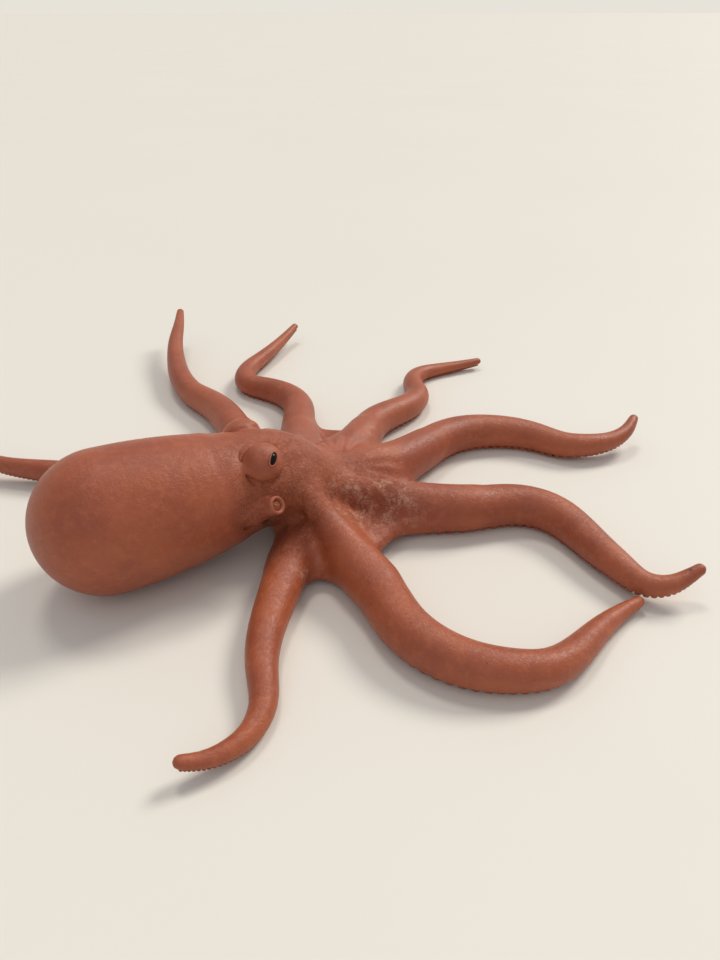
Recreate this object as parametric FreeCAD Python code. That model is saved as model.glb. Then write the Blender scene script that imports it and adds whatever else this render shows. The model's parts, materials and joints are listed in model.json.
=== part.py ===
import FreeCAD, Part
import math
import os

Vector = FreeCAD.Vector
UP = Vector(0, 0, 1)

# A soft moulded octopus lying on a table.  Millimetres and degrees.
# The origin is on the resting surface under the middle of the arm crown.
# +X runs from the mantle towards the front arms, +Y to the toy's left, +Z up.

# Driving dimensions -------------------------------------------------------------------------------

# Mantle and head: one hollow bag lying along X
mantle_radius = 36.0      # at its widest
mantle_length = 113.0     # from the rear end to the eyes
mid_radius = 31.0         # half way from the widest part to the eyes
head_radius = 26.0        # at the eyes
brow_radius = 24.0        # of the round front end of the head
eye_x = -45.0             # the eyes, from the middle of the crown
front_x = 16.0            # the front end of the head
wall = 3.0                # thickness of the moulded skin
rest_gap = 0.3            # the mantle's belly clears the surface by this

# Eyes: a dome on each side with a slit pupil
eye_radius = 11.0
eye_spread = 14.0         # from the middle plane to the middle of an eye
eye_rise = 17.5           # above the bag's own axis
pupil_length = 7.2
pupil_width = 2.9
pupil_depth = 2.5
pupil_out = Vector(0.32, -0.70, 0.62)    # the way the right pupil faces
pupil_along = Vector(0.55, 0.70, 0.45)   # the way its long side runs

# Siphon: a short open tube on the right of the head
siphon_length = 13.0
siphon_root_radius = 6.3
siphon_mouth_radius = 4.4
siphon_bore = 4.2         # diameter
siphon_x = -54.0          # its root
siphon_side = 23.0        # from the middle plane
siphon_drop = 0.5         # below the bag's own axis
siphon_aim = Vector(0.83, -0.38, 0.28)

# Crown: the hub that the eight arms and the webs between them grow from
hub_radius = 38.0
hub_height = 27.0
hub_skirt = 7.0           # height of its rim
web_thickness = 7.0
web_base = 3.0            # underside of the webs, above the surface

# Mouth: the plug that closes the hole through which the bag is filled
plug_radius = 6.0
plug_top = 25.0           # its end inside the bag, above the surface
plug_flange_radius = 10.0
plug_flange = 3.0         # thickness
plug_recess = 1.5         # the flange lies this far above the surface
beak_radius = 3.0         # the pit in the middle of the mouth

# Arms
arm_reach = 220.0         # how far the courses below spread from the middle
arm_root_radius = 12.5
arm_tip_radius = 3.0
sole = 0.92               # depth of the sucker side below an arm's middle, in arm radii
flex_length = 14.0        # the stretch of each arm that bends at a joint
joint_gap = 0.3           # between a bending stretch and the stretch beyond it
fit_gap = 0.3             # between pieces that lie against each other

# Each course is a row of (x, y, height of the sucker side), drawn for a reach of drawn_reach.
# fullness says how far out an arm stays thick, and bends is how far along its two joints start.
drawn_reach = 220.0
arms = {
    "right_arm_1": dict(fullness=2.4, bends=(52, 122), course=(
        (26, 8, 0), (44, 12, 0), (62, 19, 0), (84, 28, 0), (104, 31, 0), (121, 27, 0), (137, 18, 0),
        (149, 5, 0), (157, -8, 1), (168, -16, 3), (182, -20, 5), (197, -19, 9), (209, -13, 14))),
    "right_arm_2": dict(fullness=2.4, bends=(46, 116), course=(
        (20, -21, 0), (38, -32, 0), (55, -40, 0), (73, -45, 0), (90, -52, 0), (100, -64, 0),
        (103, -81, 0), (102, -100, 1), (102, -117, 2), (104, -130, 3), (112, -137, 6),
        (120, -139, 10), (126, -140, 14))),
    "right_arm_3": dict(fullness=2.2, bends=(46, 118), course=(
        (-11, -28, 0), (-16, -51, 0), (-14, -76, 0), (-15, -102, 0), (-10, -121, 0), (0, -135, 0),
        (14, -145, 0), (28, -150, 0), (48, -147, 0), (68, -140, 0), (86, -136, 1), (95, -135, 2))),
    "right_arm_4": dict(fullness=1.1, bends=(44, 92), course=(
        (-22, -20, 0), (-35, -33, 0), (-47, -45, 0), (-58, -59, 0), (-70, -76, 0), (-79, -95, 0),
        (-84, -110, 0), (-92, -120, 0), (-104, -126, 2), (-114, -127, 4), (-122, -126, 7))),
    "left_arm_1": dict(fullness=1.4, bends=(62, 128), course=(
        (19, 21, 0), (32, 38, 0), (46, 55, 0), (64, 71, 0), (82, 78, 0), (98, 84, 0), (111, 96, 0),
        (118, 114, 0), (130, 128, 0), (147, 132, 0), (167, 131, 1), (186, 129, 3))),
    "left_arm_2": dict(fullness=1.3, bends=(72, 142), course=(
        (2, 28, 0), (5, 47, 0), (9, 66, 0), (17, 92, 0), (27, 116, 0), (26, 138, 0), (17, 156, 0),
        (9, 172, 0), (15, 190, 1), (31, 206, 2), (50, 222, 4), (68, 238, 7), (79, 247, 10))),
    "left_arm_3": dict(fullness=1.7, bends=(66, 142), course=(
        (-14, 26, 0), (-19, 44, 0), (-22, 62, 0), (-24, 90, 0), (-23, 117, 0), (-25, 142, 0),
        (-32, 168, 0), (-34, 194, 3), (-30, 222, 7), (-24, 244, 13), (-15, 266, 19), (-7, 288, 24))),
    "left_arm_4": dict(fullness=1.4, bends=(50, 108), course=(
        (-25, 18, 0), (-40, 33, 0), (-58, 48, 0), (-80, 66, 0), (-102, 82, 0), (-124, 97, 1),
        (-144, 111, 3), (-160, 123, 5), (-174, 136, 9), (-184, 150, 13))),
}

# The edge of the web between each two neighbouring arms dips in to this point (x, y)
webs = {
    ("right_arm_4", "right_arm_3"): (-36, -50),
    ("right_arm_3", "right_arm_2"): (13, -44),
    ("right_arm_2", "right_arm_1"): (48, -8),
    ("right_arm_1", "left_arm_1"): (52, 44),
    ("left_arm_1", "left_arm_2"): (36, 80),
    ("left_arm_2", "left_arm_3"): (-5, 84),
    ("left_arm_3", "left_arm_4"): (-42, 64),
}

# Worked out -----------------------------------------------------------------------------------------

spread = arm_reach / drawn_reach
axis_height = mantle_radius + rest_gap
rear_x = eye_x - mantle_length
widest_x = rear_x + mantle_radius
middle_x = (widest_x + eye_x) / 2
brow_x = front_x - brow_radius
half_way = math.sqrt(0.5) # sine of 45 degrees
section_step = 9.0        # distance between an arm's cross-sections
end_round = (0, 25, 50, 75)   # degrees round the ball at an arm's end where it has a section
rim_drop = math.asin(sole)


def unit(v):
    return Vector(v).normalize()


def bag(inset):
    """The mantle and head as a solid of revolution, with its surface moved inwards by inset."""
    back = mantle_radius - inset
    front = brow_radius - inset
    shoulders = [
        Vector(widest_x, back, 0),
        Vector(middle_x, mid_radius - inset, 0),
        Vector(eye_x, head_radius - inset, 0),
        Vector(brow_x, front, 0),
    ]
    rear_bow = Vector(widest_x - back * half_way, back * half_way, 0)
    front_bow = Vector(brow_x + front * half_way, front * half_way, 0)
    edges = [
        Part.Arc(Vector(rear_x + inset, 0, 0), rear_bow, shoulders[0]).toShape(),
        *[Part.makeLine(a, b) for a, b in zip(shoulders, shoulders[1:])],
        Part.Arc(shoulders[-1], front_bow, Vector(front_x - inset, 0, 0)).toShape(),
        Part.makeLine(Vector(front_x - inset, 0, 0), Vector(rear_x + inset, 0, 0)),
    ]
    solid = Part.Face(Part.Wire(edges)).revolve(Vector(0, 0, 0), Vector(1, 0, 0), 360)
    solid.translate(Vector(0, 0, axis_height))
    return solid


def course_curve(arm):
    """The arm's course over the surface; z is the height of its sucker side."""
    curve = Part.BSplineCurve()
    curve.interpolate(Points=[Vector(x * spread, y * spread, z) for x, y, z in arm["course"]])
    return curve


def arm_radius(arm, share):
    """The arm's radius at a share of its length."""
    return arm_tip_radius + (arm_root_radius - arm_tip_radius) * (1 - share ** arm["fullness"])


def arm_frame(arm, curve, distance):
    """The middle of the arm at a distance along it, the way it runs, and its radius there."""
    length = curve.length()
    at = curve.parameterAtDistance(distance, curve.FirstParameter)
    radius = arm_radius(arm, distance / length)
    foot = curve.value(at)
    middle = Vector(foot.x, foot.y, max(foot.z, 0) + sole * radius)
    return middle, unit(curve.tangent(at)[0]), radius


def arm_section(middle, ahead, radius):
    """A round back closed by the flat sucker side."""
    side = unit(UP.cross(ahead))
    rise = ahead.cross(side)
    half = side * (radius * math.cos(rim_drop))
    floor = middle - rise * (radius * sole)
    back = Part.Arc(floor + half, middle + rise * radius, floor - half).toShape()
    return Part.Wire([back, Part.makeLine(floor - half, floor + half)])


def arm_piece(arm, start, end, straight=False):
    """The stretch of an arm between two distances along it, smooth or straight between sections."""
    curve = course_curve(arm)
    count = max(3, round((end - start) / section_step) + 1)
    sections = []
    for i in range(count):
        distance = start + (end - start) * i / (count - 1)
        sections.append(arm_section(*arm_frame(arm, curve, distance)))
    return Part.makeLoft(sections, True, straight)


def tip_piece(arm, start):
    """The last stretch of an arm, with its round end."""
    curve = course_curve(arm)
    end = curve.length()
    middle, ahead, radius = arm_frame(arm, curve, end)
    rounds = []
    for degrees in end_round:
        turn = math.radians(degrees)
        rounds.append(arm_section(middle + ahead * radius * math.sin(turn), ahead, radius * math.cos(turn)))
    return arm_piece(arm, start, end).fuse(Part.makeLoft(rounds, True, True)).removeSplitter()


def bend_places(arm):
    """Distances along an arm where its root bend and its middle bend start."""
    return [distance * spread for distance in arm["bends"]]


def hub():
    """The dome in the middle of the arms."""
    top = Part.BSplineCurve()
    top.interpolate(
        Points=[
            Vector(hub_radius, 0, hub_skirt),
            Vector(hub_radius / 2, 0, (hub_height + hub_skirt) / 2),
            Vector(0, 0, hub_height),
        ],
        InitialTangent=Vector(-1, 0, 1),
        FinalTangent=Vector(-1, 0, 0),
    )
    edges = [
        Part.makeLine(Vector(0, 0, 0), Vector(hub_radius, 0, 0)),
        Part.makeLine(Vector(hub_radius, 0, 0), Vector(hub_radius, 0, hub_skirt)),
        top.toShape(),
        Part.makeLine(Vector(0, 0, hub_height), Vector(0, 0, 0)),
    ]
    return Part.Face(Part.Wire(edges)).revolve(Vector(0, 0, 0), UP, 360)


def web_end(name):
    """Where the web ends on an arm, just short of the arm's root bend."""
    curve = course_curve(arms[name])
    at = curve.parameterAtDistance(bend_places(arms[name])[0] - fit_gap, curve.FirstParameter)
    return Vector(curve.value(at).x, curve.value(at).y, web_base)


def web():
    """The flat skin between the arms, from the rear right arm round to the rear left one."""
    edges = []
    for pair, dip in webs.items():
        start, end = [web_end(name) for name in pair]
        inner = Vector(dip[0] * spread, dip[1] * spread, web_base)
        edge = Part.BezierCurve()
        edge.setPoles([start, inner * 2 - (start + end) / 2, end])
        edges.append(edge.toShape())
    centre = Vector(0, 0, web_base)
    first, last = edges[0].Vertexes[0].Point, edges[-1].Vertexes[-1].Point
    outline = Part.Wire([Part.makeLine(centre, first), *edges, Part.makeLine(last, centre)])
    return Part.Face(outline).extrude(UP * web_thickness)


def crown():
    """Hub, arm roots and webs, hollowed for the head and bored for the mouth."""
    roots = [arm_piece(arm, 0, bend_places(arm)[0], straight=True) for arm in arms.values()]
    return hub().multiFuse(roots).fuse(web()).cut(bag(-fit_gap)).cut(mouth_hole())


def mouth_hole():
    """The stepped hole that the plug fits, from below the crown to above the plug."""
    bore = Part.makeCylinder(plug_radius + fit_gap, plug_top + fit_gap)
    seat_height = plug_recess + plug_flange
    return bore.fuse(Part.makeCylinder(plug_flange_radius + fit_gap, seat_height))


def mouth_plug():
    """A flanged plug with the pit of the mouth in its underside."""
    shank = Part.makeCylinder(plug_radius, plug_top - plug_recess, Vector(0, 0, plug_recess))
    flange = Part.makeCylinder(plug_flange_radius, plug_flange, Vector(0, 0, plug_recess))
    pit = Part.makeSphere(beak_radius, Vector(0, 0, plug_recess))
    return shank.fuse(flange).cut(pit)


def mantle_shell():
    """The hollow moulded skin of mantle and head, open at the mouth."""
    return bag(0).cut(bag(wall)).cut(mouth_hole())


def filling():
    """The soft fill inside the skin."""
    return bag(wall + fit_gap).cut(mouth_hole())


def mirror(shape):
    """The same shape on the toy's left."""
    return shape.mirror(Vector(0, 0, 0), Vector(0, 1, 0))


def pupil_frame():
    """Middle of the right pupil on the dome, and the ways it faces, runs and lies across."""
    out = unit(pupil_out)
    along = unit(pupil_along - out * pupil_along.dot(out))
    eye_centre = Vector(eye_x, -eye_spread, axis_height + eye_rise)
    return eye_centre + out * eye_radius, out, along, out.cross(along)


def slit(depth, play):
    """A round-ended bar sunk into the right eye, proud of it by its own play."""
    middle, out, along, across = pupil_frame()
    half = pupil_width / 2 + play
    reach = along * (pupil_length / 2 - pupil_width / 2)
    floor = middle - out * depth
    corners = [
        floor - reach - across * half,
        floor + reach - across * half,
        floor + reach + across * half,
        floor - reach + across * half,
    ]
    far_end = Part.Arc(corners[1], floor + reach + along * half, corners[2]).toShape()
    near_end = Part.Arc(corners[3], floor - reach - along * half, corners[0]).toShape()
    sides = [Part.makeLine(corners[0], corners[1]), far_end, Part.makeLine(corners[2], corners[3])]
    return Part.Face(Part.Wire(sides + [near_end])).extrude(out * (depth + eye_radius))


def eye_ball(grow):
    return Part.makeSphere(eye_radius + grow, Vector(eye_x, -eye_spread, axis_height + eye_rise))


def right_eye():
    """The dome that stands out of the head, with the slot for its pupil."""
    return eye_ball(0).cut(bag(-fit_gap)).cut(slit(pupil_depth, fit_gap / 3))


def right_pupil():
    """The glossy insert, flush with the dome."""
    return slit(pupil_depth - fit_gap, 0).common(eye_ball(0))


def siphon():
    """The open tube, lying against the side of the head."""
    aim = unit(siphon_aim)
    foot = Vector(siphon_x, -siphon_side, axis_height - siphon_drop)
    tube = Part.makeCone(siphon_root_radius, siphon_mouth_radius, siphon_length, foot, aim)
    bore = Part.makeCylinder(siphon_bore / 2, siphon_length + fit_gap, foot, aim)
    return tube.cut(bore).cut(bag(-fit_gap)).cut(eye_ball(fit_gap))


def save(name, shape):
    if shape.ShapeType != "Solid" and len(shape.Solids) == 1:
        shape = shape.Solids[0]
    print(f"{name:22s} solids {len(shape.Solids)}  valid {shape.isValid()}  volume {shape.Volume:9.0f}")
    shape.exportStep(f"parts/{name}.step")


def main():
    os.makedirs("parts", exist_ok=True)
    save("mantle_shell", mantle_shell())
    save("filling", filling())
    save("arm_crown", crown())
    save("mouth_plug", mouth_plug())
    save("right_eye", right_eye())
    save("left_eye", mirror(right_eye()))
    save("right_pupil", right_pupil())
    save("left_pupil", mirror(right_pupil()))
    save("siphon", siphon())
    for name, arm in arms.items():
        root_bend, middle_bend = bend_places(arm)
        save(f"{name}_root_flex", arm_piece(arm, root_bend, root_bend + flex_length))
        base_start = root_bend + flex_length + joint_gap
        save(f"{name}_base", arm_piece(arm, base_start, middle_bend))
        save(f"{name}_middle_flex", arm_piece(arm, middle_bend, middle_bend + flex_length))
        save(f"{name}_tip", tip_piece(arm, middle_bend + flex_length + joint_gap))


main()
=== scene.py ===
# %% [markdown]
# A soft moulded octopus lies on a table with its arms spread.  The construction model gives its size, its
# bodies and its joints.  This file gives it its looks: one skin over mantle, head and arms, suckers
# underneath, glossy pupils, a siphon tube and a rubber finish.

import json
import math

import bpy
import numpy as np
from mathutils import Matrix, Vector


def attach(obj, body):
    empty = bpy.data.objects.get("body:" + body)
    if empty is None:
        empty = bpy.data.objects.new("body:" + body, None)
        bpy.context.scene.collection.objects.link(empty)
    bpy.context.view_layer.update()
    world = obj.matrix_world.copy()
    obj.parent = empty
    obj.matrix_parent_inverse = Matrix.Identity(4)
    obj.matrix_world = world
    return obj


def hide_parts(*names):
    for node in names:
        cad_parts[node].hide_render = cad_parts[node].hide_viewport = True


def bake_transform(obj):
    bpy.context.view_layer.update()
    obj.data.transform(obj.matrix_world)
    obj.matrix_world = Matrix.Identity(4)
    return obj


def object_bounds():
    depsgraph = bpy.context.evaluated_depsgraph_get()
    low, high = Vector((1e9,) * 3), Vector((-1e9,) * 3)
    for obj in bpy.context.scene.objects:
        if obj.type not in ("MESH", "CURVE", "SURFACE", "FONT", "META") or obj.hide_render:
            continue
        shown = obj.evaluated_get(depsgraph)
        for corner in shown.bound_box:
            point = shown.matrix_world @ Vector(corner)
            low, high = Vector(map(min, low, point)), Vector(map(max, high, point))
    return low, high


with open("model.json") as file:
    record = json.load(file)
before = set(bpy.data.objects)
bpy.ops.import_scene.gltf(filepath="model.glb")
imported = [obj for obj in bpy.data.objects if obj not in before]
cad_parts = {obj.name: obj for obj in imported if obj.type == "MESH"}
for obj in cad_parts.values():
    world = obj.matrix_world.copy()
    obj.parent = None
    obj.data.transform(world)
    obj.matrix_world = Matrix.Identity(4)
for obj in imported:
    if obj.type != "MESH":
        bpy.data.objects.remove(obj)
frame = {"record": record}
cad_low, cad_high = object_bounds()
joints = {joint["name"]: joint for joint in frame["record"]["behaviour"]["joints"]}
print("size in mm", [round(v * 1000) for v in cad_high - cad_low])

# %% [markdown]
# The camera stands at the toy's right, a little behind its eyes, and looks down on it at about 33 degrees
# with a wide lens, as a person leaning over a table does.

# %% Camera
scene = bpy.context.scene
scene.view_settings.view_transform = "Standard"
MM = 0.001


def place_camera(at, towards, lens):
    data = bpy.data.cameras.new("camera")
    data.lens = lens
    data.clip_start = 0.01
    camera = bpy.data.objects.new("camera", data)
    scene.collection.objects.link(camera)
    camera.location = at
    camera.rotation_euler = Vector(towards).to_track_quat("-Z", "Y").to_euler()
    scene.camera = camera
    return camera


camera = place_camera(Vector((-138, -302, 240)) * MM, (0.380, 0.746, -0.546), lens=27.04)
print("camera is", round(camera.location.length * 1000), "mm from the middle of the arms")

# %% [markdown]
# Shader maths reads best as plain expressions.  This class wraps one output socket: arithmetic on it adds
# Math nodes, `mix` blends colours, and `node` makes any other node from its type, settings and inputs.

# %% A socket that does arithmetic


class Socket:
    def __init__(self, tree, output):
        self.tree = tree
        self.output = output

    def maths(self, operation, *values):
        return node(self.tree, "ShaderNodeMath", {"operation": operation}, dict(enumerate(values)))

    def __add__(self, other):
        return self.maths("ADD", self, other)

    def __sub__(self, other):
        return self.maths("SUBTRACT", self, other)

    def __rsub__(self, other):
        return self.maths("SUBTRACT", other, self)

    def __mul__(self, other):
        return self.maths("MULTIPLY", self, other)

    __radd__ = __add__
    __rmul__ = __mul__

    def ramp(self, low, high):
        """0 below low, 1 above high, smooth between."""
        settings = {"interpolation_type": "SMOOTHSTEP"}
        inputs = {"Value": self, "From Min": low, "From Max": high}
        return node(self.tree, "ShaderNodeMapRange", settings, inputs)


def node(tree, kind, settings, inputs, output=0):
    """Adds a node: settings first, then values or links for its sockets."""
    made = tree.nodes.new(kind)
    for name, value in settings.items():
        setattr(made, name, value)
    for name, value in inputs.items():
        if isinstance(value, Socket):
            tree.links.new(value.output, made.inputs[name])
        else:
            made.inputs[name].default_value = value
    return Socket(tree, made.outputs[output])


def mix(factor, first, second):
    """A colour between two colours."""
    tree = factor.tree
    return node(tree, "ShaderNodeMix", {"data_type": "RGBA"}, {0: factor, 6: first, 7: second}, output=2)


print("shader helpers ready")

# %% [markdown]
# A material starts with its Principled shader.  Values that are the same all over go straight on the
# shader's sockets.  Patterns are read from the object's own coordinates, so that a pattern runs on over the
# cuts between pieces and moves with the toy.

# %% Starting a material


def new_material(name, steady):
    """An empty material with its shader, and the places on the object as a socket."""
    material = bpy.data.materials.new(name)
    material.use_nodes = True
    tree = material.node_tree
    shader = next(n for n in tree.nodes if n.type == "BSDF_PRINCIPLED")
    for socket, value in steady.items():
        shader.inputs[socket].default_value = value
    places = node(tree, "ShaderNodeTexCoord", {}, {}, output=3)
    return material, tree, shader, places


def feed(shader, socket, value):
    value.tree.links.new(value.output, shader.inputs[socket])


def noise(places, size, detail=3, roughness=0.55, warp=0.0):
    """Cloudy noise whose blobs are about size metres across."""
    inputs = {
        "Vector": places, "Scale": 1 / size, "Detail": detail, "Roughness": roughness, "Distortion": warp}
    return node(places.tree, "ShaderNodeTexNoise", {}, inputs)


def cells(places, size, feature="F1"):
    """Cell distances, with cells about size metres across."""
    inputs = {"Vector": places, "Scale": 1 / size}
    return node(places.tree, "ShaderNodeTexVoronoi", {"feature": feature}, inputs)


def near(places, centre, radius):
    """1 at a point in millimetres, falling to 0 at radius millimetres from it."""
    inputs = {0: places, 1: Vector(centre) * MM}
    gap = node(places.tree, "ShaderNodeVectorMath", {"operation": "DISTANCE"}, inputs, 1)
    return 1 - gap.ramp(0.25 * radius * MM, radius * MM)


def bump(height, depth, normal=None):
    """A Bump node: height from 0 to 1 raises the surface by depth metres."""
    inputs = {"Height": height, "Distance": depth, "Strength": 1.0}
    if normal is not None:
        inputs["Normal"] = normal
    return node(height.tree, "ShaderNodeBump", {}, inputs)


print("material helpers ready")

# %% [markdown]
# The skin is dyed soft rubber, cast in one piece: terracotta with a semi-gloss.  Close up it is mottled,
# it has fine creases round the head, eyes and siphon with painted shade in their hollows, and the crests of
# the creases in the webs carry painted pale highlights.

# %% Moulded rubber


def moulded_rubber():
    steady = {"IOR": 1.46, "Specular IOR Level": 0.5, "Coat Roughness": 0.3, "Subsurface Weight": 0.0}
    material, tree, shader, places = new_material("moulded_rubber", steady)
    clouds = noise(places, 0.030, detail=4)
    mottle = noise(places, 0.0045, detail=3, roughness=0.65)
    grain = noise(places, 0.0011, detail=2)
    creases = noise(places, 0.0028, detail=4, roughness=0.7, warp=1.6)
    head = near(places, (-38, -14, 44), 46)
    siphon_side = near(places, (-44, -30, 32), 30)
    crown = near(places, (12, -14, 24), 46)
    right_webs = near(places, (10, -26, 23), 38)
    web_highlight_spots = (near(places, (46, 42, 19), 11) + near(places, (-42, -53, 15), 8)
                 + near(places, (-47, -23, 30), 12))
    domes = near(places, (-47, -17, 58), 15) + near(places, (-47, 17, 58), 15)
    wrinkled = (head * 0.6 + siphon_side + crown * 0.7 - domes * 0.8).ramp(0.05, 0.9)
    wear_and_highlight_patches = noise(places, 0.009, detail=5, roughness=0.7).ramp(0.42, 0.60)
    # Painted highlight: pale colour on the crests of the fine creases, in the webs and at a few spots.
    painted_crease_highlights = (right_webs + web_highlight_spots * 0.8) * wear_and_highlight_patches * creases.ramp(0.40, 0.60)
    colour = mix(clouds.ramp(0.35, 0.65), (0.390, 0.094, 0.036, 1), (0.315, 0.070, 0.029, 1))
    colour = mix((mottle.ramp(0.45, 0.75)) * 0.35, colour, (0.50, 0.145, 0.060, 1))
    # Painted shade: where wrinkles are, the hollows of the fine creases are darkened.
    colour = mix(creases.ramp(0.56, 0.40) * wrinkled * 0.30, colour, (0.17, 0.040, 0.020, 1))
    # Painted highlight on the crease crests.
    colour = mix(painted_crease_highlights * 0.6, colour, (0.62, 0.37, 0.27, 1))
    specks = cells(places, 0.011).ramp(0.06, 0.03)
    # Painted shade: a dark spot stands for a small pit on top of right arm 2's tip; no pit is modelled.
    painted_pit_shade = near(places, (121, -139, 17), 1.8)
    # Painted shade: the slot under the siphon, by the root of right arm 4, is darkened.
    painted_slot_shade = near(places, (-47, -23, 27), 6.5)
    # The dark colour serves the specks, which are small dark flecks in the rubber, and the painted shade of
    # the pit and the slot.
    colour = mix((specks * 0.5 + painted_pit_shade + painted_slot_shade * 0.7).ramp(0.0, 1.0), colour, (0.08, 0.030, 0.02, 1))
    feed(shader, "Base Color", colour)
    feed(shader, "Roughness", 0.33 + mottle * 0.16 + painted_crease_highlights * 0.2 + wrinkled * 0.05)
    fine = bump(grain * 0.35 + mottle * 0.65, 0.00022)
    feed(shader, "Normal", bump(creases * (wrinkled * 0.75 + 0.25), 0.0014, fine))
    return material


rubber = moulded_rubber()
print("moulded rubber has", len(rubber.node_tree.nodes), "nodes")

# %% [markdown]
# Three smaller finishes: the glossy black of the pupils, the rubber worn on the rims of the slits and on the
# siphon, with painted shade in the siphon's bore, and the white fibre that fills the mantle.

# %% Pupil, rim and fibre


def pupil_gloss():
    steady = {"IOR": 1.35, "Specular IOR Level": 0.25}
    material, tree, shader, places = new_material("pupil_gloss", steady)
    depth = noise(places, 0.002)
    feed(shader, "Base Color", mix(depth, (0.004, 0.004, 0.003, 1), (0.012, 0.009, 0.006, 1)))
    feed(shader, "Roughness", 0.10 + depth * 0.06)
    return material


def worn_rubber():
    steady = {"IOR": 1.46}
    material, tree, shader, places = new_material("worn_rubber", steady)
    wear = noise(places, 0.0012, detail=4)
    # Painted shade: the siphon's bore darkens towards its blind end.
    painted_bore_shade = near(places, (-48.2, -28.9, 39.0), 5.5)
    wear_and_highlight_patches = mix(wear, (0.38, 0.105, 0.048, 1), (0.29, 0.072, 0.034, 1))
    feed(shader, "Base Color", mix(painted_bore_shade.ramp(0.1, 0.7), wear_and_highlight_patches, (0.05, 0.012, 0.006, 1)))
    feed(shader, "Roughness", 0.42 + wear * 0.15)
    feed(shader, "Normal", bump(wear, 0.0002))
    return material


def loose_fibre():
    steady = {"Sheen Weight": 0.4}
    material, tree, shader, places = new_material("loose_fibre", steady)
    strands = noise(places, 0.003, detail=6, roughness=0.8, warp=3.0)
    feed(shader, "Base Color", mix(strands, (0.86, 0.85, 0.82, 1), (0.68, 0.66, 0.62, 1)))
    feed(shader, "Roughness", 0.85 + strands * 0.1)
    feed(shader, "Normal", bump(strands, 0.001))
    return material


gloss, worn, fibre = pupil_gloss(), worn_rubber(), loose_fibre()
print("small finishes:", gloss.name, worn.name, fibre.name)

# %% [markdown]
# Each arm follows a course over the table.  The points below are its middle, seen from above, and the height
# of its sucker side, in millimetres from the middle of the crown.  `fullness` says how far out the arm stays
# thick.  A natural cubic spline through the points gives an even, springy line.

# %% Arm courses
ROOT_RADIUS, TIP_RADIUS = 12.5, 3.0
SOLE = 0.92

COURSES = {
    "right_arm_1": (2.4, (
        (26, 8, 0), (44, 12, 0), (62, 19, 0), (84, 28, 0), (104, 31, 0), (121, 27, 0), (137, 18, 0),
        (149, 5, 0), (157, -8, 1), (168, -16, 3), (182, -20, 5), (197, -19, 9), (209, -13, 14))),
    "right_arm_2": (2.4, (
        (20, -21, 0), (38, -32, 0), (55, -40, 0), (73, -45, 0), (90, -52, 0), (100, -64, 0),
        (103, -81, 0), (102, -100, 1), (102, -117, 2), (104, -130, 3), (112, -137, 6),
        (120, -139, 10), (126, -140, 14))),
    "right_arm_3": (2.2, (
        (-11, -28, 0), (-16, -51, 0), (-14, -76, 0), (-15, -102, 0), (-10, -121, 0), (0, -135, 0),
        (14, -145, 0), (28, -150, 0), (48, -147, 0), (68, -140, 0), (86, -136, 1), (95, -135, 2))),
    "right_arm_4": (1.1, (
        (-22, -20, 0), (-35, -33, 0), (-47, -45, 0), (-58, -59, 0), (-70, -76, 0), (-79, -95, 0),
        (-84, -110, 0), (-92, -120, 0), (-104, -126, 2), (-114, -127, 4), (-122, -126, 7))),
    "left_arm_1": (1.4, (
        (19, 21, 0), (32, 38, 0), (46, 55, 0), (64, 71, 0), (82, 78, 0), (98, 84, 0), (111, 96, 0),
        (118, 114, 0), (130, 128, 0), (147, 132, 0), (167, 131, 1), (186, 129, 3))),
    "left_arm_2": (1.3, (
        (2, 28, 0), (5, 47, 0), (9, 66, 0), (17, 92, 0), (27, 116, 0), (26, 138, 0), (17, 156, 0),
        (9, 172, 0), (15, 190, 1), (31, 206, 2), (50, 222, 4), (68, 238, 7), (79, 247, 10))),
    "left_arm_3": (1.7, (
        (-14, 26, 0), (-19, 44, 0), (-22, 62, 0), (-24, 90, 0), (-23, 117, 0), (-25, 142, 0),
        (-32, 168, 0), (-34, 194, 3), (-30, 222, 7), (-24, 244, 13), (-15, 266, 19), (-7, 288, 24))),
    "left_arm_4": (1.4, (
        (-25, 18, 0), (-40, 33, 0), (-58, 48, 0), (-80, 66, 0), (-102, 82, 0), (-124, 97, 1),
        (-144, 111, 3), (-160, 123, 5), (-174, 136, 9), (-184, 150, 13))),
}


def spline(points, step):
    """Points every step along a natural cubic spline through the given ones."""
    points = np.array(points, float)
    chord = np.linalg.norm(np.diff(points, axis=0), axis=1)
    count = len(points)
    system, right = np.eye(count), np.zeros_like(points)
    for i in range(1, count - 1):
        system[i, i - 1:i + 2] = chord[i - 1], 2 * (chord[i - 1] + chord[i]), chord[i]
        right[i] = 6 * ((points[i + 1] - points[i]) / chord[i] - (points[i] - points[i - 1]) / chord[i - 1])
    bend = np.linalg.solve(system, right)
    fine = []
    for i, h in enumerate(chord):
        t = np.linspace(0, h, 40, endpoint=False)[:, None]
        slope = (points[i + 1] - points[i]) / h - h * (2 * bend[i] + bend[i + 1]) / 6
        fine.append(points[i] + slope * t + bend[i] * t**2 / 2 + (bend[i + 1] - bend[i]) * t**3 / (6 * h))
    fine = np.vstack(fine + [points[-1:]])
    along = np.concatenate([[0], np.cumsum(np.linalg.norm(np.diff(fine, axis=0), axis=1))])
    places = np.linspace(0, along[-1], max(2, round(along[-1] / step) + 1))
    return np.column_stack([np.interp(places, along, fine[:, k]) for k in range(fine.shape[1])]), places


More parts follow.
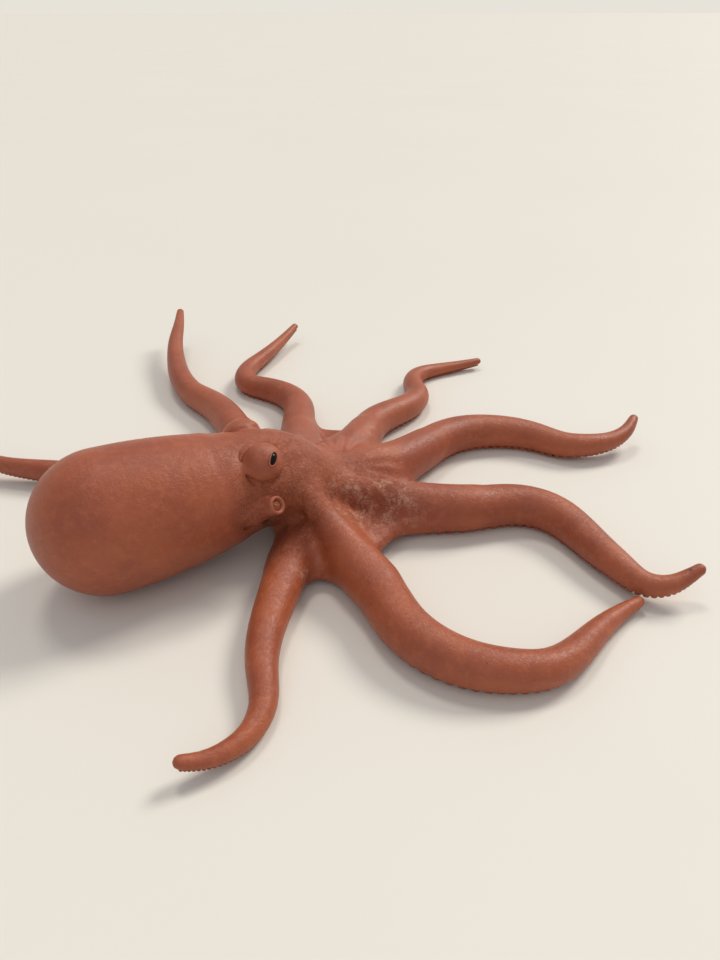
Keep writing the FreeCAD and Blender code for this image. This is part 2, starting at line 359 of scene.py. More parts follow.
class Arm:
    """An arm's middle line in millimetres, with its radius, its way ahead and its distance at each point."""

    def __init__(self, name, fullness, course):
        self.name = name
        line, self.along = spline(course, 2.0)
        share = self.along / self.along[-1]
        self.radius = TIP_RADIUS + (ROOT_RADIUS - TIP_RADIUS) * (1 - share**fullness)
        self.middle = line
        self.middle[:, 2] = np.maximum(line[:, 2], 0) + SOLE * self.radius
        ahead = np.gradient(self.middle, axis=0)
        self.ahead = ahead / np.linalg.norm(ahead, axis=1)[:, None]


arms = [Arm(name, fullness, course) for name, (fullness, course) in COURSES.items()]
print("arm lengths in mm:", {arm.name: round(arm.along[-1]) for arm in arms})

# %% [markdown]
# The skin is one closed surface with soft hollows where an arm leaves the crown, which tubes joined by hand
# never show well.  So the shape is described as a distance field: a grid of numbers that say how far each
# point is from the surface, negative inside.  Two shapes join with a smooth minimum, which rounds the
# corner between them as a mould does.

# %% The grid
CELL = 0.9
margin = 6.0
low = np.array(cad_low) * 1000 - margin
high = np.array(cad_high) * 1000 + margin
counts = np.ceil((high - low) / CELL).astype(int) + 1
axes = [low[k] + CELL * np.arange(counts[k]) for k in range(3)]
FAR = 40.0


def smooth_min(a, b, blend):
    near_each = np.maximum(blend - np.abs(a - b), 0) / blend
    return np.minimum(a, b) - near_each**2 * blend / 4


def smooth_max(a, b, blend):
    return -smooth_min(-a, -b, blend)


def window(lowest, highest):
    """The part of the grid inside a box, and its coordinates."""
    cut = []
    for k in range(3):
        start = int(np.clip(np.floor((lowest[k] - low[k]) / CELL), 0, counts[k] - 1))
        stop = int(np.clip(np.ceil((highest[k] - low[k]) / CELL) + 1, start + 1, counts[k]))
        cut.append(slice(start, stop))
    x, y, z = (axes[k][cut[k]] for k in range(3))
    return tuple(cut), x[:, None, None], y[None, :, None], z[None, None, :]


def cone_distance(x, y, z, a, b, radius_a, radius_b):
    """Distance to a round-ended bar from a to b whose radius changes evenly."""
    run = b - a
    px, py, pz = x - a[0], y - a[1], z - a[2]
    t = np.clip((px * run[0] + py * run[1] + pz * run[2]) / (run @ run), 0, 1)
    gap = np.sqrt((px - t * run[0]) ** 2 + (py - t * run[1]) ** 2 + (pz - t * run[2]) ** 2)
    return gap - (radius_a + (radius_b - radius_a) * t)


def chain(middle, radius, reach):
    """A field that holds a chain of bars; reach is how far round it the field is true."""
    field = np.full(counts, FAR, np.float32)
    for a, b, ra, rb, extra in zip(middle, middle[1:], radius, radius[1:], reach):
        size = max(ra, rb) + extra
        cut, x, y, z = window(np.minimum(a, b) - size, np.maximum(a, b) + size)
        field[cut] = np.minimum(field[cut], cone_distance(x, y, z, a, b, ra, rb))
    return field


print("grid", list(counts), "cells of", CELL, "mm")

# %% [markdown]
# Arms first.  Each is a chain of short bars along its middle, flattened below, where the suckers will sit.
# Near the crown the arms melt into each other over about 12 mm; further out they only lie side by side.

# %% Arms in the grid
FLAT = 0.74               # the flattened underside lies this share of a radius below the middle

gx, gy, gz = axes[0][:, None, None], axes[1][None, :, None], axes[2][None, None, :]
from_middle = np.sqrt(gx**2 + gy**2)
melt = 13.0 * np.clip((100 - from_middle) / 45, 0, 1) + 0.2


def arm_field(arm):
    keep = np.arange(0, len(arm.along), 2)
    keep[-1] = len(arm.along) - 1
    middle, radius = arm.middle[keep], arm.radius[keep]
    reach = np.where(arm.along[keep] < 95, 16.0, 4.0)
    round_arm = chain(middle, radius, reach[:-1])
    cut, x, y, z = window(middle.min(0) - 30, middle.max(0) + 30)
    flat_from = np.full(counts, FAR, np.float32)
    for a, b, ra in zip(middle, middle[1:], radius):
        size = ra + 6
        part, px, py, pz = window(np.minimum(a, b) - size, np.maximum(a, b) + size)
        run = b - a
        t = np.clip(((px - a[0]) * run[0] + (py - a[1]) * run[1]) / (run[0] ** 2 + run[1] ** 2), 0, 1)
        sole = a[2] + run[2] * t - FLAT * ra
        closeness = (px - a[0] - t * run[0]) ** 2 + (py - a[1] - t * run[1]) ** 2 < (1.3 * ra) ** 2
        flat_from[part] = np.where(closeness, np.minimum(flat_from[part], sole), flat_from[part])
    under = np.where(flat_from[cut] < FAR, flat_from[cut] - z, -FAR)
    round_arm[cut] = smooth_max(round_arm[cut], np.maximum(under, -FAR), 4.0)
    return round_arm


arms_field = np.full(counts, FAR, np.float32)
for arm in arms:
    arms_field = smooth_min(arms_field, arm_field(arm), melt).astype(np.float32)
print("arms in the grid; points inside:", int((arms_field < 0).sum()))

# %% [markdown]
# The web is a thin skin between neighbouring arms.  Seen from above its edge is a hollow curve from one arm
# to the next, and it climbs towards the middle, where the crown rises to meet the head.

# %% Web and crown
WEB_EDGES = (
    ((-52, -52), (-33, -50), (-14, -72)),
    ((-14, -72), (13, -43), (61, -43)),
    ((61, -43), (46, -8), (76, 25)),
    ((76, 25), (50, 40), (62, 69)),
    ((62, 69), (36, 80), (20, 98)),
    ((20, 98), (-5, 86), (-24, 92)),
    ((-24, 92), (-44, 66), (-62, 51)),
    ((-62, 51), (-40, 10), (-45, -20)),
    ((-45, -20), (-56, -38), (-52, -52)),
)


def web_outline():
    """The web's edge from above: each piece is a curve that passes through its middle point."""
    edge = []
    for start, through, end in (np.array(piece, float) for piece in WEB_EDGES):
        pull = 2 * through - (start + end) / 2
        t = np.linspace(0, 1, 8, endpoint=False)[:, None]
        edge.append((1 - t) ** 2 * start + 2 * t * (1 - t) * pull + t**2 * end)
    return np.vstack(edge)


def outline_distance(x, y, outline):
    """Signed distance from above to a closed outline, negative inside."""
    gap = np.full(np.broadcast(x, y).shape, 1e9)
    inside = np.zeros(gap.shape, bool)
    for a, b in zip(outline, np.roll(outline, -1, axis=0)):
        run = b - a
        t = np.clip(((x - a[0]) * run[0] + (y - a[1]) * run[1]) / (run @ run), 0, 1)
        gap = np.minimum(gap, (x - a[0] - t * run[0]) ** 2 + (y - a[1] - t * run[1]) ** 2)
        crosses = (a[1] > y) != (b[1] > y)
        with np.errstate(divide="ignore", invalid="ignore"):
            inside ^= crosses & (x < a[0] + (y - a[1]) * run[0] / run[1])
    return np.where(inside, -1, 1) * np.sqrt(gap)


edge_gap = outline_distance(axes[0][:, None], axes[1][None, :], web_outline())[:, :, None]
web_top = 8.0 + 14.0 * np.clip(1 - np.sqrt(gx**2 + gy**2) / 75, 0, 1) ** 1.3
web_under = 3.5 + 3.0 * np.clip(1 - np.sqrt(gx**2 + gy**2) / 60, 0, 1)
web_field = smooth_max(edge_gap, np.maximum(gz - web_top, web_under - gz), 5.0)
skin = smooth_min(arms_field, web_field.astype(np.float32), 7.0)
print("web spans", [round(float(v)) for v in np.ptp(web_outline(), axis=0)], "mm")

# %% [markdown]
# Mantle and head are one bag, laid on its side: a wide round end that rests on the table and settles a
# little flat, a slight neck, and a head that runs down in front into the crown.

# %% Mantle and head
BAG = (   # x, y, height of the middle, radius
    (-119.5, 0, 35.9, 35.5), (-105, 0, 36.0, 35.0), (-89, 0, 36.3, 33.3), (-73, 0, 36.6, 30.6),
    (-58, 0, 37.5, 27.2), (-44, 0, 38.0, 25.4), (-30, 0, 34.5, 23.2), (-16, 1, 27.5, 19.0),
    (-3, 2, 20.5, 15.5), (9, 3, 15.5, 12.0))


def bag_field():
    line, _ = spline(BAG, 4.0)
    return chain(line[:, :3], line[:, 3], np.full(len(line), 18.0))


bag = smooth_max(bag_field(), (0.4 - gz).astype(np.float32), 5.0)
in_front = np.clip((gx + 62) / 40, 0, 1)
skin = smooth_min(skin, bag, 2.0 + 9.0 * in_front).astype(np.float32)
print("bag runs from x", BAG[0][0] - BAG[0][3], "to", BAG[-1][0] + BAG[-1][3])

# %% [markdown]
# The eyes stand out of the head as low domes with a crease round their foot.  The siphon is a short tube at
# the right of the head; under it the edge of the mantle opens in a slot, whose dark is painted shade in the
# rubber's colour.

# %% Eyes, siphon root and mantle slot
EYE = np.array((-45.0, -14.0, 53.8))
EYE_RADIUS = 11.0
LEFT = np.array((1.0, -1.0, 1.0))
SIPHON_ROOT = np.array((-55.0, -24.0, 35.0))
SIPHON_END = np.array((-45.3, -33.8, 42.4))
SIPHON_AIM = np.array((0.44, -0.74, 0.51))


def add_ball(field, centre, radius, blend):
    cut, x, y, z = window(centre - radius - 12, centre + radius + 12)
    ball = np.sqrt((x - centre[0]) ** 2 + (y - centre[1]) ** 2 + (z - centre[2]) ** 2) - radius
    field[cut] = smooth_min(field[cut], ball, blend)


def groove_ring(field, centre, towards, across, thick, blend):
    """Presses a ring-shaped crease into the surface round a line through centre."""
    cut, x, y, z = window(centre - across - 8, centre + across + 8)
    px, py, pz = x - centre[0], y - centre[1], z - centre[2]
    up = px * towards[0] + py * towards[1] + pz * towards[2]
    out = np.sqrt(np.maximum(px**2 + py**2 + pz**2 - up**2, 0))
    ring = np.sqrt((out - across) ** 2 + up**2) - thick
    field[cut] = smooth_max(field[cut], -ring, blend)


def press_bar(field, a, b, radius_a, radius_b, blend):
    size = max(radius_a, radius_b) + 6
    cut, x, y, z = window(np.minimum(a, b) - size, np.maximum(a, b) + size)
    field[cut] = smooth_max(field[cut], -cone_distance(x, y, z, a, b, radius_a, radius_b), blend)


def add_bar(field, a, b, radius_a, radius_b, blend):
    size = max(radius_a, radius_b) + 10
    cut, x, y, z = window(np.minimum(a, b) - size, np.maximum(a, b) + size)
    field[cut] = smooth_min(field[cut], cone_distance(x, y, z, a, b, radius_a, radius_b), blend)


for arm in arms:
    foot = arm.middle[np.searchsorted(arm.along, 44.0)] + (0, 0, 2.0)
    top = np.array((0.25 * foot[0] - 22, 0.24 * foot[1], 38.0))
    top[2] -= 0.55 * max(0, top[0] + 24)
    if foot[0] > -30:
        add_bar(skin, top, foot, 5.5, 8.0, 9.0)
head_middle = np.array((-45.0, 0.0, 38.0))
for side in (np.ones(3), LEFT):
    eye = EYE * side
    outward = (eye - head_middle) / np.linalg.norm(eye - head_middle)
    add_ball(skin, eye, EYE_RADIUS, 2.0)
    groove_ring(skin, eye + outward * 3.2, outward, 10.9, 0.5, 3.0)
slot_middle = np.array((-47.0, -23.6, 27.2))
press_bar(skin, np.array((-60.0, -26.4, 29.0)), slot_middle, 1.0, 3.0, 1.0)
press_bar(skin, slot_middle, np.array((-39.0, -22.0, 23.5)), 3.0, 1.6, 1.0)
add_bar(skin, SIPHON_ROOT, SIPHON_END - SIPHON_AIM * 4.5, 6.4, 4.3, 1.8)
add_ball(skin, np.array((-60.0, -26.5, 36.5)), 3.0, 2.5)
print("eyes at", EYE, "and", EYE * LEFT)

# %% [markdown]
# Small folds break up the smooth bag: soft rings where mantle meets head, and ridges that run from the head
# down onto each arm.  They are added to the grid as a gentle ripple.  Last, the underside is trimmed: it
# stays clear of the table, a little higher under the crown, and a shallow hollow leaves room for the mouth.

# %% Soft folds and underside
UNDER_MANTLE, CROWN_RISE = 0.6, 1.3     # how far the skin stays above the table
HOLLOW_RADIUS, HOLLOW_BELOW = 23, 17.5  # the ball that presses the hollow, and how deep it lies

cut, x, y, z = window((-110, -60, 0), (70, 90, 80))
ring_wave = np.sin((x + 0.35 * z + 3 * np.sin(y / 9)) / 2.1) * np.exp(-(((x + 62) / 9) ** 2))
round_way, outwards = np.arctan2(y - 2, x - 6), np.sqrt(x**2 + y**2)
ridge_wave = np.sin(round_way * 30 + np.sin(outwards / 6)) * np.exp(-(((outwards - 34) / 15) ** 2))
above = np.clip((z - 12) / 8, 0, 1)
skin[cut] += (0.28 * ring_wave + 0.30 * ridge_wave) * above
lift = UNDER_MANTLE + CROWN_RISE * np.clip((80 - from_middle) / 20, 0, 1)
skin = smooth_max(skin, (lift - gz).astype(np.float32), 1.5)
mouth_hollow = HOLLOW_RADIUS - np.sqrt(gx**2 + gy**2 + (gz + HOLLOW_BELOW) ** 2)
skin = smooth_max(skin, mouth_hollow.astype(np.float32), 2.0)
print("folds up to 0.6 mm")

# %% [markdown]
# Surface nets turn the grid into a mesh.  Every grid cell that the surface passes through gets one point, at
# the mean of where the surface crosses the cell's edges, and every crossed grid edge gets one quad between
# its four cells.  The field's slope gives each point its normal.

# %% Surface nets
CORNERS = [(i, j, k) for i in (0, 1) for j in (0, 1) for k in (0, 1)]
EDGES = [(a, b) for a in range(8) for b in range(a + 1, 8) if bin(a ^ b).count("1") == 1]


def surface_nets(field):
    inside = field < 0
    size = np.array(field.shape) - 1
    some = np.zeros(size, bool)
    every = np.ones(size, bool)
    for i, j, k in CORNERS:
        corner = inside[i:i + size[0], j:j + size[1], k:k + size[2]]
        some |= corner
        every &= corner
    spots = np.argwhere(some & ~every)
    values = [field[spots[:, 0] + i, spots[:, 1] + j, spots[:, 2] + k] for i, j, k in CORNERS]
    total, crossings = np.zeros((len(spots), 3)), np.zeros(len(spots))
    for a, b in EDGES:
        crossed = (values[a] < 0) != (values[b] < 0)
        share = np.where(crossed, values[a] / np.where(crossed, values[a] - values[b], 1), 0)
        start, step = np.array(CORNERS[a]), np.array(CORNERS[b]) - np.array(CORNERS[a])
        total += crossed[:, None] * (start + share[:, None] * step)
        crossings += crossed
    points = low + CELL * (spots + total / crossings[:, None])
    number = np.full(size, -1, np.int32)
    number[tuple(spots.T)] = np.arange(len(spots))
    quads = []
    for axis in range(3):
        first, second = [k for k in range(3) if k != axis]
        start = [slice(1, size[k]) for k in range(3)]
        start[axis] = slice(0, size[axis])
        ahead = list(start)
        ahead[axis] = slice(1, size[axis] + 1)
        before, after = inside[tuple(start)], inside[tuple(ahead)]
        at = np.argwhere(before != after) + [0 if k == axis else 1 for k in range(3)]
        leaving = before[before != after]
        around = []
        for da, db in ((0, 0), (1, 0), (1, 1), (0, 1)):
            cell = at.copy()
            cell[:, first] -= da
            cell[:, second] -= db
            around.append(number[tuple(cell.T)])
        quad = np.column_stack(around)
        flip = leaving if axis == 1 else ~leaving
        quad[flip] = quad[flip][:, ::-1]
        quads.append(quad)
    return points, np.vstack(quads)


def field_at(field, points):
    """The field between grid points."""
    spot = np.clip((points - low) / CELL, 0, np.array(field.shape) - 1.001)
    base = spot.astype(int)
    t = spot - base
    value = np.zeros(len(points))
    for i, j, k in CORNERS:
        weight = np.abs(1 - i - t[:, 0]) * np.abs(1 - j - t[:, 1]) * np.abs(1 - k - t[:, 2])
        value += weight * field[base[:, 0] + i, base[:, 1] + j, base[:, 2] + k]
    return value


def slopes(field, points, reach=1.0):
    slope = np.column_stack([
        field_at(field, points + reach * CELL * way) - field_at(field, points - reach * CELL * way)
        for way in np.eye(3)])
    return slope / np.maximum(np.linalg.norm(slope, axis=1), 1e-9)[:, None]


points, quads = surface_nets(skin)
for _ in range(2):
    points -= slopes(skin, points) * field_at(skin, points)[:, None] * 0.8
normals = slopes(skin, points)
print("skin points", len(points), "faces", len(quads))

# %% [markdown]
# The arms move at joints, so the skin is cut into pieces along them: the body's own skin, and for each arm a
# near piece round its root joint and a far piece round its middle joint.  The cuts lie outside the stretches
# round each joint.  The normals come from the whole skin, so a cut can't be seen.  Each cut is closed by a
# cap inside the arm.

# %% Where each arm bends and is cut
ROOT_STRETCH, ROOT_EASE, MIDDLE_STRETCH = 7.0, 15.0, 12.0   # inwards and outwards of a root, and each way


def place_along(arm, joint):
    """How far along the arm a joint lies."""
    hinge = np.array(joints[joint]["pos_m"]) * 1000
    return arm.along[np.argmin(np.linalg.norm(arm.middle - hinge, axis=1))]


for arm in arms:
    root, middle = place_along(arm, arm.name + "_lift"), place_along(arm, arm.name + "_swing")
    arm.near_bend = (root - ROOT_STRETCH, root + ROOT_EASE)
    arm.far_bend = (middle - MIDDLE_STRETCH, middle + MIDDLE_STRETCH)
    arm.near_cut = arm.near_bend[0] - 2.5
    arm.far_cut = (arm.near_bend[1] + arm.far_bend[0]) / 2
print("near cuts in mm:", [round(arm.near_cut) for arm in arms])

# %% Cut the skin


def along_arm(arm, spots):
    """For each spot, the nearest place along the arm and how many arm radii away it is."""
    best = np.full(len(spots), 1e9)
    place = np.zeros(len(spots))
    for at, middle, radius in zip(arm.along, arm.middle, arm.radius):
        gap = np.linalg.norm(spots - middle, axis=1)
        closer = gap < best
        best[closer], place[closer] = gap[closer], at
    return place, best / np.interp(place, arm.along, arm.radius)


face_middles = points[quads].mean(axis=1)
owner = np.zeros(len(quads), int)
for number, arm in enumerate(arms):
    reach = arm.middle[arm.along > arm.near_cut - 10]
    box_low, box_high = reach.min(0) - 18, reach.max(0) + 18
    close = np.flatnonzero(((face_middles > box_low) & (face_middles < box_high)).all(axis=1))
    place, radii = along_arm(arm, face_middles[close])
    on_arm = (place > arm.near_cut) & (radii < 1.55)
    owner[close[on_arm]] = np.where(place[on_arm] < arm.far_cut, 1 + 2 * number, 2 + 2 * number)
print("faces on each piece:", np.bincount(owner))

# %% Make the pieces


def capped(faces, count):
    """Closes the open rims of a set of quads, whose points are numbered below count, with fans."""
    edges = {}
    for face in faces.tolist():
        for a, b in zip(face, face[1:] + face[:1]):
            if (b, a) in edges:
                del edges[(b, a)]
            else:
                edges[(a, b)] = True
    follow = {}
    for a, b in edges:
        follow.setdefault(b, []).append(a)
    fans, hubs = [], []
    while follow:
        start = here = next(iter(follow))
        rim = []
        while here in follow:
            rim.append(here)
            nexts = follow[here]
            here_next = nexts.pop()
            if not nexts:
                del follow[here]
            here = here_next
            if here == start:
                break
        hub = count + len(hubs)
        hubs.append(rim)
        fans += [(a, b, hub) for a, b in zip(rim, rim[1:] + rim[:1])]
    return fans, hubs


def make_mesh(name, spots, faces, material, point_normals=None):
    """A smooth mesh object from points in millimetres."""
    mesh = bpy.data.meshes.new(name)
    mesh.from_pydata((np.asarray(spots) * MM).tolist(), [], [tuple(face) for face in faces])
    mesh.validate()
    mesh.polygons.foreach_set("use_smooth", [True] * len(mesh.polygons))
    mesh.update()
    if point_normals is not None:
        mesh.normals_split_custom_set_from_vertices(np.asarray(point_normals).tolist())
    thing = bpy.data.objects.new(name, mesh)
    scene.collection.objects.link(thing)
    thing.data.materials.append(material)
    return thing


def skin_piece(name, number):
    mine = quads[owner == number]
    used, faces = np.unique(mine, return_inverse=True)
    faces = faces.reshape(mine.shape)
    spots, turned = points[used], normals[used]
    fans, rims = capped(faces, len(spots))
    if rims:
        spots = np.vstack([spots] + [spots[rim].mean(axis=0) for rim in rims])
        turned = np.vstack([turned] + [-turned[rim].mean(axis=0) for rim in rims])
    return make_mesh(name, spots, faces.tolist() + fans, rubber, turned)


def bend_with(piece):
    """Bakes a piece's placement into its mesh; it does not make the piece bend."""
    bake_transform(piece)


body_skin = skin_piece("body_skin", 0)
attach(body_skin, "body")
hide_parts("mantle_shell", "arm_crown", "right_eye", "left_eye")
for number, arm in enumerate(arms):
    near_piece = skin_piece(arm.name + "_skin_near", 1 + 2 * number)
    bend_with(near_piece)
    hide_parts(arm.name + "_root_flex", arm.name + "_base")
    far_piece = skin_piece(arm.name + "_skin_far", 2 + 2 * number)
    bend_with(far_piece)
    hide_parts(arm.name + "_middle_flex", arm.name + "_tip")
print("skin pieces:", 1 + 2 * len(arms))

# %% [markdown]
# Two rows of suckers run along the underside of every arm, large at the mouth and tiny at the tip.  One
# sucker is a small cup turned round its own axis; copies are scaled and tilted outwards a little, so that
# they show as a beaded edge from the side.

# %% Suckers
CUP = (   # radius, height, both in cup radii
    (0.70, -0.50), (1.00, 0.10), (1.06, 0.42), (0.98, 0.66),
    (0.80, 0.72), (0.62, 0.60), (0.42, 0.30), (0.18, 0.14))
ROUND = 14
SUCKER_SIZE, SUCKER_OFFSET, SUCKER_TILT = 0.24, 0.40, 0.30


def ring_faces(rings, around):
    """The faces between rings of points, with the last and the first ring closed."""
    faces = []
    for ring in range(rings - 1):
        here, next_ring = ring * around, (ring + 1) * around
        for i in range(around):
            j = (i + 1) % around
            faces.append((here + i, here + j, next_ring + j, next_ring + i))
    faces.append(tuple(range((rings - 1) * around, rings * around)))
    faces.append(tuple(reversed(range(around))))
    return faces


def turned_shape(profile, around):
    """Points and faces of a profile (radius, height) turned round Z, closed at both ends."""
    angles = np.linspace(0, 2 * math.pi, around, endpoint=False)
    across, up = np.cos(angles), np.sin(angles)
    rings = [np.column_stack([r * across, r * up, np.full(around, h)]) for r, h in profile]
    return np.vstack(rings), ring_faces(len(profile), around)


cup_points, cup_faces = turned_shape(CUP, ROUND)


def frame_at(arm, distance):
    """Middle, ahead, left and up of the arm at a distance along it, and its radius."""
    middle = np.array([np.interp(distance, arm.along, arm.middle[:, k]) for k in range(3)])
    ahead = np.array([np.interp(distance, arm.along, arm.ahead[:, k]) for k in range(3)])
    ahead /= np.linalg.norm(ahead)
    left = np.cross((0, 0, 1), ahead)
    left /= np.linalg.norm(left)
    return middle, ahead, left, np.cross(ahead, left), np.interp(distance, arm.along, arm.radius)


def sucker_places(arm):
    """(distance along, side) of every sucker, the two rows set half a pitch apart."""
    found = []
    for side, start in ((1, 0.0), (-1, 0.5)):
        distance = -4.0
        first = True
        while distance < arm.along[-1] - 1:
            pitch = 2.05 * SUCKER_SIZE * np.interp(distance, arm.along, arm.radius)
            distance += pitch * start if first else pitch
            first = False
            found.append((distance, side))
    return found


def sucker_group(arm, from_distance, to_distance):
    """The suckers between two distances along an arm, as points and faces."""
    spots, faces = [], []
    for distance, side in sucker_places(arm):
        if not from_distance <= distance < to_distance:
            continue
        middle, ahead, left, up, radius = frame_at(arm, distance)
        down = -up * math.cos(SUCKER_TILT) + left * side * math.sin(SUCKER_TILT)
        across = np.cross(down, ahead)
        size = SUCKER_SIZE * radius
        centre = middle + left * side * SUCKER_OFFSET * radius - up * (FLAT - 0.02) * radius
        basis = np.array([ahead, across, down])
        faces += [tuple(i + len(spots) * len(cup_points) for i in face) for face in cup_faces]
        spots.append(centre + (cup_points * size) @ basis)
        spots[-1][:, 2] = np.maximum(spots[-1][:, 2], 0.05)
    return spots, faces


crown_spots, crown_faces = [], []
for arm in arms:
    spots, faces = sucker_group(arm, 0, arm.near_cut + 1)
    start = sum(len(s) for s in crown_spots)
    crown_faces += [tuple(i + start for i in face) for face in faces]
    crown_spots += spots
    for part, near, start, stop in (
            ("near", True, arm.near_cut + 1, arm.far_cut), ("far", False, arm.far_cut, 1e9)):
        spots, faces = sucker_group(arm, start, stop)
        bend_with(make_mesh(f"{arm.name}_suckers_{part}", np.vstack(spots), faces, rubber))
crown_suckers = make_mesh("crown_suckers", np.vstack(crown_spots), crown_faces, rubber)
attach(crown_suckers, "body")
print("suckers:", sum(len(sucker_places(arm)) for arm in arms))

# %% [markdown]
# The pupil is a glossy black insert that lies in a slit on the front of each dome, inside a raised oval rim
# of paler, rubbed rubber.  Both are bent to the dome: a flat oval is made first and pushed onto the sphere.

# %% Pupils and rims
OUT = np.array((0.32, -0.70, 0.62))
ALONG = np.array((0.55, 0.70, 0.45))
PUPIL_HALF = np.array((3.6, 1.45))


def eye_axes(side):
    out = OUT / np.linalg.norm(OUT)
    along = ALONG - out * (ALONG @ out)
    along /= np.linalg.norm(along)
    return EYE * side, out * side, along * side, np.cross(out, along) * side


def on_dome(side, u, v, height):
    """A point u along and v across the slit, at a height over the dome."""
    eye, out, along, across = eye_axes(side)
    ray = out * EYE_RADIUS + along * u + across * v
    return eye + ray / np.linalg.norm(ray) * (EYE_RADIUS + height)


def oval(turn, half):
    """A point on an oval with fairly straight sides."""
    c, s = math.cos(turn), math.sin(turn)
    return half[0] * math.copysign(abs(c) ** 0.85, c), half[1] * math.copysign(abs(s) ** 0.85, s)


def pupil(name, side, node_name):
    around, spots = 48, []
    rings = ((1.10, -1.6), (1.08, -0.10), (1.0, 0.10), (0.85, 0.28), (0.6, 0.40), (0.3, 0.46), (0.05, 0.48))
    for share, height in rings:
        for i in range(around):
            u, v = oval(2 * math.pi * i / around, PUPIL_HALF * share)
            spots.append(on_dome(side, u, v, height - 0.15))
    faces = ring_faces(len(rings), around)
    if side[1] < 0:
        faces = [face[::-1] for face in faces]
    lens = make_mesh(name, spots, faces, gloss)
    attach(lens, "body")
    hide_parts(node_name)


def rim(name, side):
    around, thick, spots, faces = 64, 12, [], []
    for i in range(around):
        turn = 2 * math.pi * i / around
        for k in range(thick):
            roll = 2 * math.pi * k / thick
            grow = 0.50 + 0.50 * math.cos(roll)
            u, v = oval(turn, PUPIL_HALF + grow)
            spots.append(on_dome(side, u, v, 0.05 + 0.55 * math.sin(roll)))
    for i in range(around):
        for k in range(thick):
            a, b = (i + 1) % around * thick, (k + 1) % thick
            faces.append((i * thick + k, a + k, a + b, i * thick + b))
    if side[1] > 0:
        faces = [face[::-1] for face in faces]
    ring = make_mesh(name, spots, faces, worn)
    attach(ring, "body")


for label, side in (("right", np.ones(3)), ("left", LEFT)):
    pupil(f"{label}_pupil_lens", side, f"{label}_pupil")
    rim(f"{label}_eye_rim", side)
print("pupil is", PUPIL_HALF * 2, "mm")

# %% [markdown]
# The siphon ends in a rolled lip round an open bore.  Its outline is turned round its own axis, from the
# foot that is sunk in the skin, over the lip and down to the blind end of the bore.

# %% Siphon


def turned_along(name, start, end, profile, around, material, wobble=None):
    """Turns a profile (radius, share of the way from start to end) round the line between two points."""
    spots, faces = turned_shape(profile, around)
    way = (end - start) / np.linalg.norm(end - start)
    first = np.cross(way, (0, 0, 1)) if abs(way[2]) < 0.9 else np.cross(way, (0, 1, 0))
    first /= np.linalg.norm(first)
    second = np.cross(way, first)
    if wobble is not None:
        spots = wobble(spots)
    length = np.linalg.norm(end - start)
    placed = start + spots[:, :1] * first + spots[:, 1:2] * second + spots[:, 2:] * length * way
    return make_mesh(name, placed, faces, material)


SIPHON_PROFILE = (
    (3.6, 0.05), (4.7, 0.20), (4.6, 0.50), (4.4, 0.66), (4.5, 0.78), (4.7, 0.90), (4.5, 0.99),
    (4.0, 1.04), (3.3, 1.03), (2.8, 0.95), (2.5, 0.84), (2.3, 0.60), (2.0, 0.20), (1.0, 0.10))
siphon = turned_along("siphon_tube", SIPHON_END - SIPHON_AIM * 9, SIPHON_END, SIPHON_PROFILE, 40, worn)
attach(siphon, "body")
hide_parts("siphon")
print("siphon is", round(float(np.linalg.norm(SIPHON_END - SIPHON_ROOT)), 1), "mm long")

# %% [markdown]
# Underneath, the filling hole is closed by a plug that is moulded as the mouth: a puckered ring with a pit in
# the middle.  The pleats are a ripple on the ring's radius.

# %% Mouth and filling


def puckered(spots):
    turn = np.arctan2(spots[:, 1], spots[:, 0])
    radius = np.hypot(spots[:, 0], spots[:, 1])
    fold = 1 + 0.07 * np.sin(turn * 18) * np.clip((radius - 1.5) / 4, 0, 1)
    return np.column_stack([spots[:, 0] * fold, spots[:, 1] * fold, spots[:, 2]])


MOUTH_PROFILE = (
    (9.0, -0.6), (9.9, 0.0), (9.8, 0.35), (9.0, 0.70), (7.8, 0.92), (6.4, 1.0), (5.2, 0.92), (4.2, 0.70),
    (3.4, 0.40), (2.8, 0.05), (2.2, -0.25), (1.0, -0.4))
mouth = turned_along(
    "mouth_ring", np.array((0, 0, 6.0)), np.array((0, 0, 1.5)), MOUTH_PROFILE, 108, rubber, puckered)
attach(mouth, "body")
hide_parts("mouth_plug")


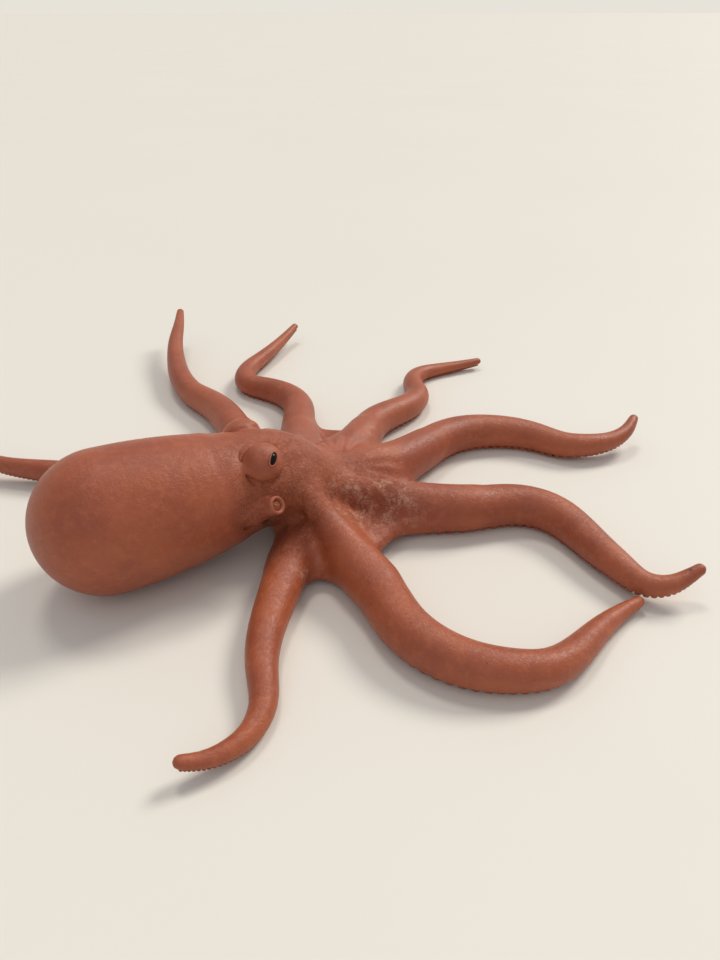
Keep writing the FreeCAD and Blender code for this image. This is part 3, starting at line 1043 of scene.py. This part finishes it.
def fill_shape():
    """A lumpy bag of fibre a few millimetres inside the skin."""
    line, _ = spline(BAG, 4.0)
    line = line[line[:, 0] < 0]
    around, spots, faces = 40, [], []
    for x, y, height, radius in line:
        for i in range(around):
            turn = 2 * math.pi * i / around
            lump = 0.7 * math.sin(turn * 5 + x / 7) + 0.6 * math.sin(turn * 3 - x / 5)
            reach = radius - 6 + lump
            spots.append((x, y + reach * math.cos(turn), height + reach * math.sin(turn)))
    for ring in range(len(line) - 1):
        for i in range(around):
            a, b = ring * around, (ring + 1) * around
            j = (i + 1) % around
            faces.append((a + i, b + i, b + j, a + j))
    faces.append(tuple(range(around)))
    faces.append(tuple(reversed(range((len(line) - 1) * around, len(line) * around))))
    return spots, faces


filling = make_mesh("fibre_filling", *fill_shape(), fibre)
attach(filling, "body")
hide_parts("filling")
print("mouth and filling made")

# %% [markdown]
# A plain pale table and soft light from far off, so that it falls evenly: a wide lamp in front of the toy,
# which gives the soft shadows, a weaker one overhead, a faint fill on the other side, and an even pale sky.

# %% Table and light


def table_finish():
    material, tree, shader, places = new_material("table", {})
    feed(shader, "Base Color", mix(noise(places, 0.4), (0.80, 0.765, 0.70, 1), (0.77, 0.735, 0.67, 1)))
    feed(shader, "Roughness", 0.6 + noise(places, 0.1) * 0.1)
    return material


half = 60000
table = make_mesh("table", [(-half, -half, 0), (half, -half, 0), (half, half, 0), (-half, half, 0)],
                  [(0, 1, 2, 3)], table_finish())


def sun(name, come_from, strength, width, colour):
    """Light that comes from far off, so that it falls evenly on the table."""
    data = bpy.data.lights.new(name, "SUN")
    data.energy = strength
    data.angle = width
    data.color = colour
    thing = bpy.data.objects.new(name, data)
    scene.collection.objects.link(thing)
    thing.rotation_euler = Vector(come_from).to_track_quat("Z", "Y").to_euler()


sun("window", (1.10, 0.30, 1.0), 1.8, 0.35, (1.0, 0.95, 0.86))
sun("ceiling", (0.10, 0.42, 0.89), 0.6, 0.25, (1.0, 0.96, 0.88))
sun("fill", (-0.6, -0.9, 1.3), 0.35, 1.2, (0.93, 0.96, 1.0))
scene.world = bpy.data.worlds.new("sky")
scene.world.use_nodes = True
sky_tree = scene.world.node_tree
seen = node(sky_tree, "ShaderNodeLightPath", {}, {})
sky = mix(seen, (0.42, 0.42, 0.43, 1), (0.80, 0.77, 0.70, 1))
sky_tree.links.new(sky.output, sky_tree.nodes["Background"].inputs["Color"])
